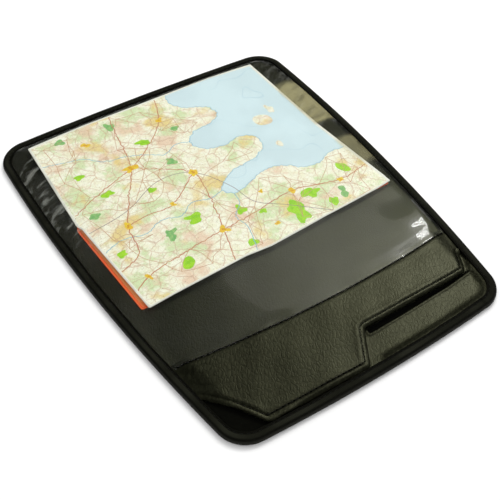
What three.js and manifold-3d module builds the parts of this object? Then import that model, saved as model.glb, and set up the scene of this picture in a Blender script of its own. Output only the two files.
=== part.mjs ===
// Map case: a padded leatherette back, a clear window and a leatherette flap, bound together round
// the edge, with a folded map inside. Millimetres, +Z up, +Y towards the wide end. The origin is under
// the middle of the case, on the surface that it lies on.
import * as THREE from "three";
import { mergeVertices } from "three/addons/utils/BufferGeometryUtils.js";
import Module from "manifold-3d";

const wasm = await Module();
wasm.setup();

// Outline: a rounded trapezoid with bowed sides, sized between the points where its sides would meet
const CASE_LENGTH = 322.2;
const FAR_WIDTH = 258.6;
const NEAR_WIDTH = 213.4;
const SIDE_BOW = 8.75;
const FAR_BOW = 3.4;
const NEAR_BOW = 4.0;
const FAR_CORNER_RADIUS = 23.8;
const NEAR_CORNER_RADIUS = 22.0;

// Sheets and their clearances
const CLEARANCE = 0.3;
const PANEL_THICKNESS = 2.4;
const TAPE_THICKNESS = 1.0;
const TAPE_WIDTH = 7.0;
const TAPE_EDGE_RADIUS = 1.6;
const FILM_THICKNESS = 0.8;
const FLAP_THICKNESS = 1.2;

// Heights of the bulged front, above the surface below
const FILM_CROWN = 6.7;
const SEAM_TOP = 6.0;
const STEP_HEM_TOP = 5.6;
const NEAR_HEM_TOP = 4.8;
const RISE_WIDTH = 9.5;

// Seam between film and flap: its distance from the near end, and its sag and slant over its width
const FLAP_DEPTH = 59.9;
const SEAM_SAG = 6.5;
const SEAM_SLANT = -2.0;
const SEAM_HALF_WIDTH = 110;
const FLAP_TUCK = 4.0;
const FILM_LAP = 2.0;
const LAP_INSET = 10.0;

// Free edge of the flap, from the binding on the left to the binding on the right. It is turned under
// for a hem. Across is a share of half the near width, up is a share of the flap's depth.
const HEM_WIDTH = 5.0;
const HEM_TURN = 0.8;
const NEAR_HEM_UP = 0.058;
const STEP_HEM_UP = 0.477;
const FLAP_EDGE = [
  { across: -1.003, up: 0.7 },
  { across: -0.872, up: 0.414 },
  { across: -0.76, up: 0.095 },
  { across: -0.06, up: NEAR_HEM_UP },
  { across: 0.077, up: STEP_HEM_UP },
  { across: 0.904, up: STEP_HEM_UP },
  { across: 0.941, up: 0.566 },
  { across: 0.993, up: 0.743 },
];
const LIP_GAP = 4.0;

// Folded map: its size, its distance from the far end and its outlines. Across is a share of the map's
// width from its middle, along is a share of its length from its near left corner.
const MAP_WIDTH = 210.2;
const MAP_LENGTH = 195.9;
const MAP_FAR_GAP = 12.1;
const MAP_SHIFT = -0.9;
const LEAF_THICKNESS = 0.5;
const FOLDS_THICKNESS = 1.8;
const COVER_THICKNESS = 0.5;
const LEAF_OUTLINE = [
  { across: -0.5, along: 0.986 },
  { across: -0.516, along: 0.48 },
  { across: -0.507, along: 0.456 },
  { across: -0.474, along: 0.0 },
  { across: -0.382, along: 0.006 },
  { across: -0.099, along: 0.018 },
  { across: -0.004, along: 0.009 },
  { across: 0.231, along: 0.024 },
  { across: 0.467, along: 0.034 },
  { across: 0.533, along: 0.042 },
  { across: 0.504, along: 0.48 },
  { across: 0.5, along: 0.986 },
  { across: 0.304, along: 1.005 },
  { across: 0.004, along: 1.0 },
  { across: -0.272, along: 1.003 },
];
const FOLDS_OUTLINE = [
  { across: -0.47, along: 0.926 },
  { across: -0.487, along: 0.48 },
  { across: -0.446, along: 0.03 },
  { across: 0.47, along: 0.06 },
  { across: 0.536, along: 0.072 },
  { across: 0.508, along: 0.48 },
  { across: 0.504, along: 0.926 },
];
const COVER_OUTLINE = [
  { across: -0.505, along: 0.937 },
  { across: -0.52, along: 0.498 },
  { across: -0.49, along: 0.017 },
  { across: 0.53, along: 0.04 },
  { across: 0.499, along: 0.937 },
];

// How finely round stretches are divided
const SIDE_STEPS = 14;
const END_STEPS = 12;
const CORNER_STEPS = 8;
const SEAM_STEPS = 12;
const OPEN_ROWS = 7;

// Levels that follow from the sizes above
const SLEEVE_INSET = TAPE_THICKNESS + CLEARANCE;
const PANEL_TOP = PANEL_THICKNESS;
const FLAP_EDGE_TOP = PANEL_TOP + CLEARANCE + FLAP_THICKNESS;
const FILM_EDGE_UNDER = FLAP_EDGE_TOP - FILM_THICKNESS;
const TAPE_LEG_UNDER = FLAP_EDGE_TOP + CLEARANCE;
const CASE_EDGE_HEIGHT = TAPE_LEG_UNDER + TAPE_THICKNESS;
const COVER_UNDER = PANEL_TOP + CLEARANCE;
const FOLDS_UNDER = COVER_UNDER + COVER_THICKNESS + CLEARANCE;
const FOLDS_TOP = FOLDS_UNDER + FOLDS_THICKNESS;
const LEAF_TOP = FOLDS_TOP + CLEARANCE + LEAF_THICKNESS;
const CUT_HEIGHT = 2 * FILM_CROWN;
const MIDDLE_Y = (NEAR_BOW - FAR_BOW) / 2;
const NEAR_END = MIDDLE_Y - CASE_LENGTH / 2;
const FAR_END = MIDDLE_Y + CASE_LENGTH / 2;
const MAP_NEAR = FAR_END + FAR_BOW - MAP_FAR_GAP - MAP_LENGTH;

// The circle of a bowed side from a to b, which bulges to the right of that direction
function bowedSide(a, b, bow) {
  const chord = Math.hypot(b.x - a.x, b.y - a.y);
  const radius = (chord * chord) / 8 / bow + bow / 2;
  const inward = { x: -(b.y - a.y) / chord, y: (b.x - a.x) / chord };
  return {
    x: (a.x + b.x) / 2 + inward.x * (radius - bow),
    y: (a.y + b.y) / 2 + inward.y * (radius - bow),
    radius,
  };
}

// The corner circle that touches sides p and q from inside, near the point where they would meet
function cornerCircle(p, q, meet, radius) {
  const toP = p.radius - radius;
  const toQ = q.radius - radius;
  const dx = q.x - p.x;
  const dy = q.y - p.y;
  const span = Math.hypot(dx, dy);
  const along = (span * span + toP * toP - toQ * toQ) / (2 * span);
  const across = Math.sqrt(toP * toP - along * along);
  const found = [-across, across].map((s) => ({
    x: p.x + (dx * along - dy * s) / span,
    y: p.y + (dy * along + dx * s) / span,
    radius,
  }));
  const far = (c) => Math.hypot(c.x - meet.x, c.y - meet.y);
  return far(found[0]) < far(found[1]) ? found[0] : found[1];
}

const MEETS = [
  { x: NEAR_WIDTH / 2, y: NEAR_END, radius: NEAR_CORNER_RADIUS },
  { x: FAR_WIDTH / 2, y: FAR_END, radius: FAR_CORNER_RADIUS },
  { x: -FAR_WIDTH / 2, y: FAR_END, radius: FAR_CORNER_RADIUS },
  { x: -NEAR_WIDTH / 2, y: NEAR_END, radius: NEAR_CORNER_RADIUS },
];
const BOWS = [SIDE_BOW, FAR_BOW, SIDE_BOW, NEAR_BOW];
const SIDES = MEETS.map((m, i) => bowedSide(m, MEETS[(i + 1) % 4], BOWS[i]));
const CORNERS = MEETS.map((m, i) => cornerCircle(SIDES[(i + 3) % 4], SIDES[i], m, m.radius));

// The direction from a side's centre in which the corner circle touches it
const touch = (side, corner) => Math.atan2(corner.y - side.y, corner.x - side.x);

// Arc centres, radii and angles of the whole outline, anticlockwise from the near right corner
const ARCS = CORNERS.flatMap((corner, i) => {
  const before = SIDES[(i + 3) % 4];
  const side = SIDES[i];
  const next = CORNERS[(i + 1) % 4];
  return [
    { circle: corner, from: touch(before, corner), to: touch(side, corner), steps: CORNER_STEPS },
    {
      circle: side,
      from: touch(side, corner),
      to: touch(side, next),
      steps: i % 2 ? END_STEPS : SIDE_STEPS,
    },
  ];
});

// The outline's points moved inwards by inset
function outlinePoints(inset) {
  return ARCS.flatMap(({ circle, from, to, steps }) => {
    const turn = (to - from + 2 * Math.PI) % (2 * Math.PI);
    return Array.from({ length: steps }, (_, k) => {
      const angle = from + (turn * k) / steps;
      const r = circle.radius - inset;
      return { x: circle.x + r * Math.cos(angle), y: circle.y + r * Math.sin(angle) };
    });
  });
}

const insetFrom = (circle, x, y) => circle.radius - Math.hypot(x - circle.x, y - circle.y);

// How far a point lies inside the long sides and the far end, which hold the front of the case
function heldInset(x, y) {
  const fromSide = Math.min(insetFrom(SIDES[0], x, y), insetFrom(SIDES[2], x, y));
  const fromEnd = insetFrom(SIDES[1], x, y);
  const corner = x > 0 ? CORNERS[1] : CORNERS[2];
  const inCorner = fromSide < corner.radius && fromEnd < corner.radius;
  return inCorner ? insetFrom(corner, x, y) : Math.min(fromSide, fromEnd);
}

// How far a point lies inside the long sides alone, which hold the flap
const sideInset = (x, y) => Math.min(insetFrom(SIDES[0], x, y), insetFrom(SIDES[2], x, y));

// Geometry helpers
function solid(geometry) {
  const bare = geometry.clone();
  bare.deleteAttribute("normal");
  bare.deleteAttribute("uv");
  const merged = mergeVertices(bare, 1e-4);
  return new wasm.Manifold(
    new wasm.Mesh({
      numProp: 3,
      vertProperties: new Float32Array(merged.attributes.position.array),
      triVerts: new Uint32Array(merged.index.array),
    }),
  );
}

function geometryOf(manifold) {
  const mesh = manifold.getMesh();
  const geometry = new THREE.BufferGeometry();
  geometry.setAttribute("position", new THREE.BufferAttribute(mesh.vertProperties, 3));
  geometry.setIndex(new THREE.BufferAttribute(mesh.triVerts, 1));
  geometry.computeVertexNormals();
  return geometry;
}

// A flat plate with the given outline, from one height to another
function prism(points, low, high) {
  const shape = new THREE.Shape(points.map((p) => new THREE.Vector2(p.x, p.y)));
  const geometry = new THREE.ExtrudeGeometry(shape, { depth: high - low, bevelEnabled: false });
  geometry.translate(0, 0, low);
  return solid(geometry);
}

// A ring that carries the closed profile of (inset, z) points all round the outline
function ring(profile) {
  const rows = profile.map((p) => outlinePoints(p.inset).map((q) => [q.x, q.y, p.z]));
  const across = rows.length;
  const round = rows[0].length;
  const index = [];
  for (let i = 0; i < across; i++)
    for (let k = 0; k < round; k++) {
      const a = i * round + k;
      const b = i * round + ((k + 1) % round);
      const c = ((i + 1) % across) * round + k;
      const d = ((i + 1) % across) * round + ((k + 1) % round);
      index.push(a, b, d, a, d, c);
    }
  const geometry = new THREE.BufferGeometry();
  geometry.setAttribute("position", new THREE.Float32BufferAttribute(rows.flat(2), 3));
  geometry.setIndex(index);
  return geometry;
}

// A sheet over a grid of plan points, between an underside and a top given as heights at each point
function sheet(grid, underAt, topAt) {
  const across = grid[0].length;
  const count = grid.length * across;
  const points = grid.flat();
  const low = points.map((p) => [p.x, p.y, underAt(p.x, p.y)]);
  const high = points.map((p) => [p.x, p.y, topAt(p.x, p.y)]);
  const index = [];
  const wall = (a, b) => index.push(a, b, b + count, a, b + count, a + count);
  for (let i = 0; i + 1 < grid.length; i++)
    for (let k = 0; k + 1 < across; k++) {
      const a = i * across + k;
      const b = a + 1;
      const c = a + across;
      const d = c + 1;
      index.push(a, d, b, a, c, d);
      index.push(a + count, b + count, d + count, a + count, d + count, c + count);
    }
  for (let k = 0; k + 1 < across; k++) {
    wall(k, k + 1);
    wall(count - 1 - k, count - 2 - k);
  }
  for (let i = 0; i + 1 < grid.length; i++) {
    wall((i + 1) * across, i * across);
    wall(i * across + across - 1, (i + 1) * across + across - 1);
  }
  const geometry = new THREE.BufferGeometry();
  geometry.setAttribute("position", new THREE.Float32BufferAttribute([...low, ...high].flat(), 3));
  geometry.setIndex(index);
  return solid(geometry);
}

// Seam line across the case: it sags towards the near end in the middle and slants a little
function seamY(x) {
  const share = x / SEAM_HALF_WIDTH;
  return NEAR_END + FLAP_DEPTH + SEAM_SAG * share * share + SEAM_SLANT * share;
}

// Edges of the outline at a given place
const halfWidthAt = (y) => SIDES[0].x + Math.sqrt(SIDES[0].radius ** 2 - (y - SIDES[0].y) ** 2);
const farY = (x) => SIDES[1].y + Math.sqrt(SIDES[1].radius ** 2 - (x - SIDES[1].x) ** 2);

// Plan grid. Columns lie at insets from the sides, close together where the front rises from the
// binding, and at shares of the width between. Rows do the same from the seam to the far end. The
// outermost lie outside the outline, and the sheet is trimmed there.
const RISE_SHARES = [0, 0.14, 0.32, 0.58, 1];
const RISE_FROM = TAPE_WIDTH + 2 * CLEARANCE;
const FULL_INSET = RISE_FROM + RISE_WIDTH;
const RISE_INSETS = RISE_SHARES.map((s) => RISE_FROM + s * RISE_WIDTH);
const WIDTH_SHARES = [-0.75, -0.5, -0.25, 0, 0.25, 0.5, 0.75];
const OUTSIDE = -3;
const SETTLE_PASSES = 8;

const COLUMNS = [
  ...[OUTSIDE, ...RISE_INSETS].map((d) => (y) => d - halfWidthAt(y)),
  ...WIDTH_SHARES.map((s) => (y) => s * (halfWidthAt(y) - FULL_INSET)),
  ...[...RISE_INSETS.toReversed(), OUTSIDE].map((d) => (y) => halfWidthAt(y) - d),
];

// Where columns and rows cross, settled in a few passes because each depends on the other
function planGrid(rows) {
  return rows.map((rowY) =>
    COLUMNS.map((columnX) => {
      let x = 0;
      let y = rowY(0);
      for (let pass = 0; pass < SETTLE_PASSES; pass++) {
        x = columnX(y);
        y = rowY(x);
      }
      return { x, y };
    }),
  );
}

// Rows near the seam, at distances from its line, are shared by film and flap where they lap
const FLAP_TOP_EDGE = FLAP_TUCK;
const FILM_FREE = FLAP_TUCK + 1;
const LAP_ROWS = [-FILM_LAP - 1, 0, FLAP_TOP_EDGE, FILM_FREE].map((d) => (x) => seamY(x) + d);
const filmRows = [
  ...LAP_ROWS,
  ...Array.from({ length: OPEN_ROWS }, (_, k) => (x) => {
    const low = seamY(x) + FILM_FREE;
    return low + ((farY(x) - FULL_INSET - low) * (k + 1)) / OPEN_ROWS;
  }),
  ...[...RISE_INSETS.toReversed().slice(1), OUTSIDE].map((d) => (x) => farY(x) - d),
];
const FLAP_ROW_UPS = [-0.03, 0.27, STEP_HEM_UP, 0.82];
const flapRows = [...FLAP_ROW_UPS.map((up) => () => NEAR_END + up * FLAP_DEPTH), ...LAP_ROWS];

// Heights of the bulged front, which rises from the binding as a quarter wave
const ease = (t) => Math.sin((Math.min(Math.max(t, 0), 1) * Math.PI) / 2);
const riseAt = (inset) => ease((inset - RISE_FROM) / RISE_WIDTH);
const between = (a, b, t) => a + (b - a) * t;

// The flap's top face falls from the seam to the step's hem and on to the near hem
function flapTop(x, y) {
  const stepY = NEAR_END + STEP_HEM_UP * FLAP_DEPTH;
  const nearY = NEAR_END + NEAR_HEM_UP * FLAP_DEPTH;
  const crown =
    y > stepY
      ? between(STEP_HEM_TOP, SEAM_TOP, (y - stepY) / (seamY(x) - stepY))
      : between(NEAR_HEM_TOP, STEP_HEM_TOP, (y - nearY) / (stepY - nearY));
  return between(FLAP_EDGE_TOP, crown, riseAt(sideInset(x, y)));
}

// The film's underside lies on the flap where they lap, and then blends into the open bulge
function filmUnder(x, y) {
  const inset = heldInset(x, y);
  const open = between(FILM_EDGE_UNDER, FILM_CROWN, riseAt(inset));
  const onFlap = flapTop(x, y) + CLEARANCE;
  const fromSeam = y - seamY(x);
  if (inset < RISE_FROM + CLEARANCE / 2 || fromSeam > 2 * FLAP_TUCK) return open;
  return fromSeam > FLAP_TUCK ? Math.max(open, onFlap) : onFlap;
}

// Looks
const leather = { color: 0x3c3c33, roughness: 0.62 };
const tape = { color: 0x1c1c17, roughness: 0.8 };
const film = { color: 0xe4e8e0, roughness: 0.12, transparent: true, opacity: 0.3 };
const print = { color: 0xe4e6cf, roughness: 0.6 };
const paper = { color: 0xf2f1ea, roughness: 0.75 };
const cover = { color: 0xe2652f, roughness: 0.55 };

function piece(name, geometry, look) {
  const mesh = new THREE.Mesh(geometry, new THREE.MeshStandardMaterial({ metalness: 0, ...look }));
  mesh.name = name;
  return mesh;
}

const sleeve = () => prism(outlinePoints(SLEEVE_INSET), 0, CUT_HEIGHT);
const flapEdge = FLAP_EDGE.map((p) => ({
  x: (p.across * NEAR_WIDTH) / 2,
  y: NEAR_END + p.up * FLAP_DEPTH,
}));

// Back: the plate is caught between the tape's legs. It is thicker inside them, down to the surface
// below, and its edge is doubled along the near end, where no flap lies on it.
function backPanel() {
  const plate = prism(outlinePoints(SLEEVE_INSET), SLEEVE_INSET, PANEL_TOP);
  const pad = prism(outlinePoints(TAPE_WIDTH + 2 * CLEARANCE), 0, SLEEVE_INSET);
  const lipEnd = flapEdge[0].y - LIP_GAP;
  const nearPart = [
    { x: -FAR_WIDTH, y: 2 * NEAR_END },
    { x: FAR_WIDTH, y: 2 * NEAR_END },
    { x: FAR_WIDTH, y: lipEnd },
    { x: -FAR_WIDTH, y: lipEnd },
  ];
  const lip = prism(outlinePoints(SLEEVE_INSET), SLEEVE_INSET, FLAP_EDGE_TOP)
    .subtract(prism(outlinePoints(TAPE_WIDTH - CLEARANCE), 0, CUT_HEIGHT))
    .intersect(prism(nearPart, 0, CUT_HEIGHT));
  return piece("back_panel", geometryOf(plate.add(pad).add(lip)), leather);
}

// Binding: a tape of U section whose legs lie under and over the edge of the other sheets. The edge of
// its upper leg is chamfered.
function edgeBinding() {
  const r = TAPE_EDGE_RADIUS;
  const t = TAPE_THICKNESS;
  const high = CASE_EDGE_HEIGHT;
  const chamfer = t / 3;
  const bend = [0, 1, 2].map((k) => (k * Math.PI) / 4);
  const low = bend.map((a) => ({ inset: r * (1 - Math.sin(a)), z: r * (1 - Math.cos(a)) }));
  const profile = [
    { inset: TAPE_WIDTH, z: 0 },
    ...low,
    ...low.toReversed().map((p) => ({ inset: p.inset, z: high - p.z })),
    { inset: TAPE_WIDTH - chamfer, z: high },
    { inset: TAPE_WIDTH, z: high - chamfer },
    { inset: TAPE_WIDTH, z: high - t },
    { inset: r, z: high - t },
    { inset: t, z: high - r },
    { inset: t, z: r },
    { inset: r, z: t },
    { inset: TAPE_WIDTH, z: t },
  ];
  return piece("edge_binding", ring(profile), tape);
}

// Points along the seam from one side of the lap to the other, moved by an offset
const lapEdge = halfWidthAt(seamY(0)) - LAP_INSET;
const seamLine = (offset) =>
  Array.from({ length: SEAM_STEPS + 1 }, (_, k) => {
    const x = between(-lapEdge, lapEdge, k / SEAM_STEPS);
    return { x, y: seamY(x) + offset };
  });

// Window: trimmed to the sleeve of the binding, and to the seam's lap inside it
function clearWindow() {
  const sheetOfFilm = sheet(planGrid(filmRows), filmUnder, (x, y) => filmUnder(x, y) + FILM_THICKNESS);
  const leftEnd = seamY(-lapEdge) + FLAP_TOP_EDGE + CLEARANCE;
  const rightEnd = seamY(lapEdge) + FLAP_TOP_EDGE + CLEARANCE;
  const zone = [
    { x: -FAR_WIDTH, y: leftEnd },
    { x: -lapEdge, y: leftEnd },
    ...seamLine(-FILM_LAP),
    { x: lapEdge, y: rightEnd },
    { x: FAR_WIDTH, y: rightEnd },
    { x: FAR_WIDTH, y: 2 * FAR_END },
    { x: -FAR_WIDTH, y: 2 * FAR_END },
  ];
  const trimmed = sheetOfFilm.intersect(sleeve()).intersect(prism(zone, 0, CUT_HEIGHT));
  return piece("clear_window", geometryOf(trimmed), film);
}

// A strip of the given width along the left of an edge from a to b, longer by its width at both ends
function strip(a, b, width) {
  const length = Math.hypot(b.x - a.x, b.y - a.y);
  const u = { x: ((b.x - a.x) / length) * width, y: ((b.y - a.y) / length) * width };
  return [
    { x: a.x - u.x, y: a.y - u.y },
    { x: b.x + u.x, y: b.y + u.y },
    { x: b.x + u.x - u.y, y: b.y + u.y + u.x },
    { x: a.x - u.x - u.y, y: a.y - u.y + u.x },
  ];
}

// Flap: its top edge is tucked under the film, its sides lie in the binding, and its free edge is
// turned under
function closingFlap() {
  const grid = planGrid(flapRows);
  const under = (x, y) => flapTop(x, y) - FLAP_THICKNESS;
  const turnUnder = (x, y) => Math.max(under(x, y) - HEM_TURN, PANEL_TOP + CLEARANCE);
  const first = flapEdge[0];
  const last = flapEdge.at(-1);
  const zone = [
    { x: -FAR_WIDTH, y: first.y },
    ...flapEdge,
    { x: FAR_WIDTH, y: last.y },
    { x: FAR_WIDTH, y: seamY(lapEdge) + FLAP_TOP_EDGE },
    ...seamLine(FLAP_TOP_EDGE).toReversed(),
    { x: -FAR_WIDTH, y: seamY(-lapEdge) + FLAP_TOP_EDGE },
  ];
  const strips = flapEdge
    .slice(1)
    .map((p, i) => prism(strip(flapEdge[i], p, HEM_WIDTH), 0, CUT_HEIGHT))
    .reduce((all, one) => all.add(one));
  const hem = sheet(grid, turnUnder, flapTop).intersect(strips);
  const whole = sheet(grid, under, flapTop).add(hem);
  const trimmed = whole.intersect(sleeve()).intersect(prism(zone, 0, CUT_HEIGHT));
  return piece("closing_flap", geometryOf(trimmed), leather);
}

// Map: leaf and folds follow the film down where the front falls to the binding
const mapPoints = (outline) =>
  outline.map((p) => ({ x: MAP_SHIFT + p.across * MAP_WIDTH, y: MAP_NEAR + p.along * MAP_LENGTH }));
const leafTop = (x, y) => Math.min(LEAF_TOP, filmUnder(x, y) - CLEARANCE);
const leafUnder = (x, y) => leafTop(x, y) - LEAF_THICKNESS;
const foldsTop = (x, y) => Math.max(Math.min(FOLDS_TOP, leafUnder(x, y) - CLEARANCE), FOLDS_UNDER);

function mapLeaf() {
  const leaf = sheet(planGrid(filmRows), leafUnder, leafTop);
  const trimmed = leaf.intersect(prism(mapPoints(LEAF_OUTLINE), 0, CUT_HEIGHT));
  return piece("map_leaf", geometryOf(trimmed), print);
}

function mapFolds() {
  const block = sheet(planGrid(filmRows), () => COVER_UNDER, foldsTop);
  const trimmed = block.intersect(prism(mapPoints(FOLDS_OUTLINE), FOLDS_UNDER, CUT_HEIGHT));
  return piece("map_folds", geometryOf(trimmed), paper);
}

function mapCover() {
  const plate = prism(mapPoints(COVER_OUTLINE), COVER_UNDER, COVER_UNDER + COVER_THICKNESS);
  return piece("map_cover", geometryOf(plate), cover);
}

const foldedMap = new THREE.Group();
foldedMap.add(mapLeaf(), mapFolds(), mapCover());
const mapCase = new THREE.Group();
mapCase.add(backPanel(), edgeBinding(), clearWindow(), closingFlap(), foldedMap);

export default mapCase;
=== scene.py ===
"""Map case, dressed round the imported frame. Lengths here are millimetres, in the meshes metres."""

import math

import bpy
import numpy as np
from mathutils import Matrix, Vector
from mathutils.geometry import delaunay_2d_cdt


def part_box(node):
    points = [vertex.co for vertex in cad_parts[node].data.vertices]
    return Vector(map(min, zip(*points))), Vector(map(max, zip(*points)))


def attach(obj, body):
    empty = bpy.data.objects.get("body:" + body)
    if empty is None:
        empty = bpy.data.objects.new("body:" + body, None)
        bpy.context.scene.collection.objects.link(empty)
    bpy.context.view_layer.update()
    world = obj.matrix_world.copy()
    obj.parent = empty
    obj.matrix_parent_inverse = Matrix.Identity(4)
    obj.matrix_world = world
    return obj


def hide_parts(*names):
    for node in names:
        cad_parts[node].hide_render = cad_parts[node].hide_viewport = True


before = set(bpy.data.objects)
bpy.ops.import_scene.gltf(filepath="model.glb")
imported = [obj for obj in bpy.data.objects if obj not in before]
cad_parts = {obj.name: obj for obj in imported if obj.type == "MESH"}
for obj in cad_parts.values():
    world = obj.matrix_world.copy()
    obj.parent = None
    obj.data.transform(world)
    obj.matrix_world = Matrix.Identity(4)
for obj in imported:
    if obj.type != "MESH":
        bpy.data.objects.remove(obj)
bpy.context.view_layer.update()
MM = 0.001
rng = np.random.default_rng(7)

# Outline of the case, between the points where its bowed sides would meet
CASE_LENGTH = 322.2
FAR_WIDTH = 258.6
NEAR_WIDTH = 213.4
SIDE_BOW = 8.75
FAR_BOW = 3.4
NEAR_BOW = 4.0
FAR_CORNER = 23.8
NEAR_CORNER = 22.0
MIDDLE_Y = (NEAR_BOW - FAR_BOW) / 2
NEAR_END = MIDDLE_Y - CASE_LENGTH / 2
FAR_END = MIDDLE_Y + CASE_LENGTH / 2

# Thickness of the sheets, and the levels that the frame gives
TAPE_WIDTH = 7.0
TAPE = 1.0
FILM = 0.35
LEATHER = 1.2
CARD = 0.4
SOLIDS_CLEARANCE = 0.3
SOLIDS_FILM = 0.8
PANEL_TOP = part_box("map_cover")[0].z / MM - SOLIDS_CLEARANCE
TAPE_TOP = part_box("edge_binding")[1].z / MM
LEG_UNDER = TAPE_TOP - TAPE
LEAF_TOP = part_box("map_leaf")[1].z / MM
FILM_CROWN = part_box("clear_window")[1].z / MM - SOLIDS_FILM

# Heights of the flap's face, and where the front rises from the binding
SEAM_TOP = 6.0
STEP_HEM_TOP = 5.6
NEAR_HEM_TOP = 4.8
FLAP_HELD = LEG_UNDER - 0.45
FILM_HELD = LEG_UNDER - 0.42
RISE_FROM = 7.6
RISE_WIDTH = 9.5

# Seam and the flap's free edge, in shares of half the near width and of the flap's depth
FLAP_DEPTH = 59.9
SEAM_SAG = 6.5
SEAM_SLANT = -2.0
SEAM_HALF_WIDTH = 110
FILM_LAP = 0.55
FLAP_TUCK = 3.5
NEAR_HEM_UP = 0.058
STEP_HEM_UP = 0.477
FLAP_EDGE = [
    (-1.003, 0.70), (-0.872, 0.414), (-0.760, 0.095), (-0.060, NEAR_HEM_UP), (0.077, STEP_HEM_UP),
    (0.904, STEP_HEM_UP), (0.941, 0.566), (0.993, 0.743),
]
EDGE_CORNER = 2.4
EDGE_ROUND = 1.1
HEM_WIDTH = 5.2
HEM_STITCH = 3.3
STITCH_PITCH = 4.05
TAPE_STITCH_INSET = 5.35
TAPE_STITCH_DEPTH = 0.42

# Slot beside the flap's step, and the black painted shade in it and at the cut left corner
SLOT_DEPTH = 1.5
SLOT_FAR_Y = -131.2
SLOT = [
    (10.0, -135.9), (10.6, -132.2), (61.0, -131.7), (99.5, -131.6), (100.3, -132.4), (80.0, -134.2),
    (48.0, -135.4), (14.5, -136.2),
]
SLOT_PATCH = (5, 102, -139, -128, 0.7)
CORNER_PAINTED_SHADE = [(-140, -100), (-62, -140), (-50, -158), (-56, -175), (-140, -175)]

# Folded map, in shares of its width from its middle and of its length from its near left corner
MAP_WIDTH = 210.2
MAP_LENGTH = 195.9
MAP_SHIFT = -0.9
MAP_FAR_GAP = 12.1
MAP_NEAR = FAR_END + FAR_BOW - MAP_FAR_GAP - MAP_LENGTH
LEAF = 0.25
CREASE_ALONG = 0.475
CREASE_SLANT = 0.006
PRINT_SHARE = 0.981
LEAF_OUTLINE = [
    (-0.500, 0.986), (-0.516, 0.480), (-0.507, 0.456), (-0.474, 0.000), (-0.382, 0.006),
    (-0.099, 0.018), (-0.004, 0.009), (0.231, 0.024), (0.467, 0.034), (0.533, 0.042),
    (0.504, 0.480), (0.500, 0.986), (0.304, 1.005), (0.004, 1.000), (-0.272, 1.003),
]
FOLDS_OUTLINE = [
    (-0.470, 0.926), (-0.487, 0.480), (-0.446, 0.030), (0.470, 0.060), (0.536, 0.072),
    (0.508, 0.480), (0.504, 0.926),
]
COVER_OUTLINE = [
    (-0.490, 0.937), (-0.500, 0.520), (-0.520, 0.470), (-0.493, 0.017), (-0.440, 0.016),
    (-0.400, 0.060), (0.440, 0.064), (0.470, 0.044), (0.530, 0.044), (0.499, 0.937),
]


# Plan geometry
def length_of(d):
    return np.hypot(d[..., 0], d[..., 1])


def left_of(d):
    """Plan vectors turned a quarter to the left."""
    return np.stack([-d[..., 1], d[..., 0]], -1)


def unit_left(d):
    return left_of(d) / length_of(d)[..., None]


def signed_area(ring):
    """The area inside a closed line, positive if it runs anticlockwise."""
    after = np.roll(ring, -1, 0)
    return 0.5 * np.sum(ring[:, 0] * after[:, 1] - ring[:, 1] * after[:, 0])


def bowed_side(a, b, bow):
    """Centre and radius of the arc from a to b that bulges to the right of that direction."""
    chord = length_of(b - a)
    radius = chord**2 / 8 / bow + bow / 2
    return (a + b) / 2 + left_of(b - a) / chord * (radius - bow), radius


def corner_circle(p, q, meet, radius):
    """The circle of that radius that touches two sides from inside, near where they would meet."""
    (pc, pr), (qc, qr) = p, q
    span = length_of(qc - pc)
    u = (qc - pc) / span
    along = (span**2 + (pr - radius) ** 2 - (qr - radius) ** 2) / (2 * span)
    across = math.sqrt((pr - radius) ** 2 - along**2)
    found = [pc + u * along + s * across * left_of(u) for s in (-1, 1)]
    return min(found, key=lambda c: length_of(c - meet)), radius


MEETS = [(NEAR_WIDTH / 2, NEAR_END), (FAR_WIDTH / 2, FAR_END)]
MEETS = np.array([*MEETS, (-FAR_WIDTH / 2, FAR_END), (-NEAR_WIDTH / 2, NEAR_END)])
CORNER_RADII = [NEAR_CORNER, FAR_CORNER, FAR_CORNER, NEAR_CORNER]
BOWS = [SIDE_BOW, FAR_BOW, SIDE_BOW, NEAR_BOW]
SIDES = [bowed_side(MEETS[i], MEETS[(i + 1) % 4], BOWS[i]) for i in range(4)]
CORNERS = [corner_circle(SIDES[i - 1], SIDES[i], MEETS[i], CORNER_RADII[i]) for i in range(4)]
LEFT_AND_RIGHT = (0, 2)
ALL_BUT_NEAR = (0, 1, 2)


def direction(from_centre, to_centre):
    d = to_centre - from_centre
    return math.atan2(d[1], d[0])


def outline(inset=0.0, step=2.5):
    """Points of the outline moved inwards, anticlockwise from the near right corner."""
    points = []
    for i in range(4):
        before, corner, side, after = SIDES[i - 1], CORNERS[i], SIDES[i], CORNERS[(i + 1) % 4]
        touch = direction(side[0], corner[0])
        arcs = [
            (corner, direction(before[0], corner[0]), touch, step / 2),
            (side, touch, direction(side[0], after[0]), step),
        ]
        for (centre, radius), start, end, pace in arcs:
            turn = (end - start) % (2 * math.pi)
            n = max(4, round(turn * radius / pace))
            a = start + turn * np.arange(n) / n
            points.append(centre + (radius - inset) * np.c_[np.cos(a), np.sin(a)])
    return np.concatenate(points)


def inset_of(x, y, sides=range(4)):
    """How far points lie inside the chosen sides of the outline: 0 right, 1 far, 2 left, 3 near."""
    gaps = {i: SIDES[i][1] - np.hypot(x - SIDES[i][0][0], y - SIDES[i][0][1]) for i in sides}
    inset = np.minimum.reduce(list(gaps.values()))
    for i in range(4):
        if i in gaps and (i - 1) % 4 in gaps:
            centre, radius = CORNERS[i]
            inside = (gaps[i] < radius) & (gaps[(i - 1) % 4] < radius)
            inset = np.where(inside, radius - np.hypot(x - centre[0], y - centre[1]), inset)
    return inset


def smooth(t):
    """From 0 to 1 with no kink at either end."""
    t = np.clip(t, 0, 1)
    return t * t * (3 - 2 * t)


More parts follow.
